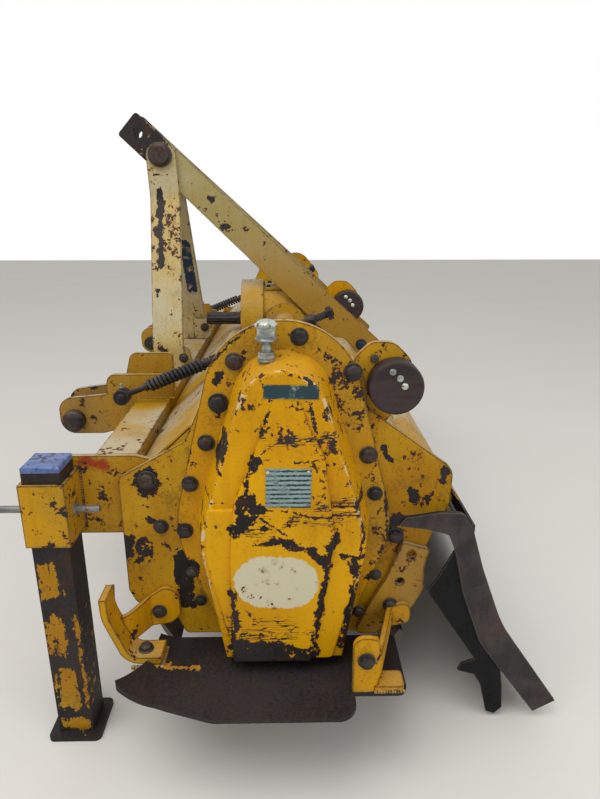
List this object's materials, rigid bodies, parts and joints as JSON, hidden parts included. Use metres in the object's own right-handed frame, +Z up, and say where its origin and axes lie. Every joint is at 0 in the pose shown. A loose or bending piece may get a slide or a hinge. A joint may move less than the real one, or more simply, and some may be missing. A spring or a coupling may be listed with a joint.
{
  "type": "rotary tiller",
  "caption": "Three-point hitch rotary tiller with a bladed rotor under a hood, side gear case, skids, trailing board and two sliding parking legs.",
  "frame": {"origin": "on the floor, midway between the outer edges of the skids and midway between the hitch plates' noses and the trailing board's tips, which is right under the rotor's axis", "axes": "+X to the machine's right along the rotor, +Y forward towards the tractor, +Z up"},
  "size_m": [1.96, 0.996, 1.1292],
  "materials": {
    "yellow_paint": "worn satin",
    "faded_paint": "chalky, faded",
    "dark_steel": "oxidised",
    "brown_steel": "rust-brown, dull",
    "zinc": "zinc plated",
    "cast_iron": "painted casting",
    "black_paint": "black and yellow, worn",
    "blue_plastic": "moulded plastic",
    "spring_steel": "blue-black"
  },
  "bodies": {
    "frame": {"side_plate_left": "yellow_paint", "side_plate_right": "yellow_paint", "bearing_hubs": "dark_steel", "bearing_cap": "yellow_paint", "gear_case_flange": "yellow_paint", "gear_case_cover": "cast_iron", "oil_breather": "zinc", "axle_tubes": "yellow_paint", "front_beam": "faded_paint", "hood": "yellow_paint", "gearbox": "cast_iron", "pto_guard": "yellow_paint", "mast_upright_left": "faded_paint", "mast_upright_right": "faded_paint", "mast_stay_left": "faded_paint", "mast_stay_right": "faded_paint", "stay_feet": "faded_paint", "mast_bolt": "dark_steel", "hitch_plates_left": "yellow_paint", "hitch_plates_right": "yellow_paint", "hitch_pins": "dark_steel", "spring_rods": "spring_steel", "spring_coils": "spring_steel", "spring_posts": "dark_steel", "rear_stubs": "yellow_paint", "leg_arms": "yellow_paint", "leg_sleeves": "yellow_paint", "leg_screws": "dark_steel", "skid_left": "dark_steel", "skid_right": "dark_steel", "skid_lugs": "yellow_paint", "skid_brackets": "yellow_paint", "adjust_plates": "yellow_paint", "hinge_rod": "dark_steel"},
    "rotor": {"rotor_tube": "dark_steel", "stub_shafts": "dark_steel", "blades_left_hand": "dark_steel", "blades_right_hand": "dark_steel"},
    "input_shaft": {"pto_shaft": "dark_steel"},
    "trailing_board": {"board_sheet": "brown_steel", "board_ends": "brown_steel"},
    "leg_left": {"leg_left": "black_paint", "leg_cap_left": "blue_plastic"},
    "leg_right": {"leg_right": "black_paint", "leg_cap_right": "blue_plastic"}
  },
  "joints": [
    {"name": "rotor_spin", "type": "hinge", "parent": "frame", "child": "rotor", "pos_m": [0, 0, 0.25], "axis": [1, 0, 0], "continuous": true},
    {"name": "input_spin", "type": "hinge", "parent": "frame", "child": "input_shaft", "pos_m": [0, 0.15, 0.605], "axis": [0, 1, 0], "continuous": true},
    {"name": "board_hinge", "type": "hinge", "parent": "frame", "child": "trailing_board", "pos_m": [0, -0.29689, 0.39286], "axis": [-1, 0, 0], "range_deg": [0, 70]},
    {"name": "leg_left_slide", "type": "slide", "parent": "frame", "child": "leg_left", "axis": [0, 0, 1], "range_m": [0, 0.35]},
    {"name": "leg_right_slide", "type": "slide", "parent": "frame", "child": "leg_right", "axis": [0, 0, 1], "range_m": [0, 0.35]}
  ],
  "couplings": [
    {"joint": "input_spin", "follows": "rotor_spin", "ratio": -2.57}
  ]
}
